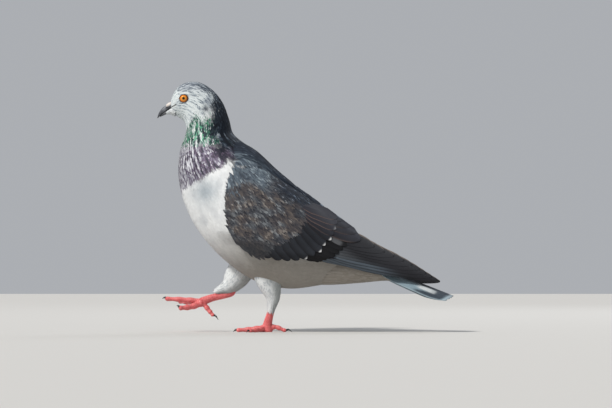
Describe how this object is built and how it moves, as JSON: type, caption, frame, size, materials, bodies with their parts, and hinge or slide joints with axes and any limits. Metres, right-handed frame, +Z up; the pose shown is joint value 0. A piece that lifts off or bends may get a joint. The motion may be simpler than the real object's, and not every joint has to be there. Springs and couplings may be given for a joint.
{
  "type": "feral pigeon model",
  "caption": "Life-size still model of a feral pigeon walking, one foot planted and the other lifted forwards, head up, wings folded over a closed tail.",
  "frame": {"origin": "on the floor, under the centre of the bird's bounding box", "axes": "+Z up, the bill towards -X, the bird's left side towards -Y"},
  "size_m": [0.2796, 0.102, 0.236],
  "materials": {
    "plumage_head": "soft matt feathers",
    "plumage_neck": "matt feathers with a green and purple sheen",
    "plumage_body": "soft matt feathers",
    "plumage_wing": "matt feathers",
    "flight_feathers": "smooth matt feathers",
    "tail_feathers": "smooth matt feathers",
    "leg_skin": "small dull scales",
    "claw": "satin horn",
    "bill": "satin horn",
    "cere": "chalky skin",
    "eye": "wet and clear"
  },
  "bodies": {
    "root": {"head": "plumage_head", "neck": "plumage_neck", "trunk": "plumage_body", "wing_left": "plumage_wing", "primaries_left": "flight_feathers", "thigh_left": "plumage_body", "shank_left": "leg_skin", "hind_toe_left": "leg_skin", "hind_toe_claw_left": "claw", "inner_toe_left": "leg_skin", "inner_toe_claw_left": "claw", "middle_toe_left": "leg_skin", "middle_toe_claw_left": "claw", "outer_toe_left": "leg_skin", "outer_toe_claw_left": "claw", "eye_left": "eye", "wing_right": "plumage_wing", "primaries_right": "flight_feathers", "thigh_right": "plumage_body", "shank_right": "leg_skin", "hind_toe_right": "leg_skin", "hind_toe_claw_right": "claw", "inner_toe_right": "leg_skin", "inner_toe_claw_right": "claw", "middle_toe_right": "leg_skin", "middle_toe_claw_right": "claw", "outer_toe_right": "leg_skin", "outer_toe_claw_right": "claw", "eye_right": "eye", "tail": "tail_feathers", "bill_upper": "bill", "bill_lower": "bill", "cere": "cere"}
  },
  "joints": []
}
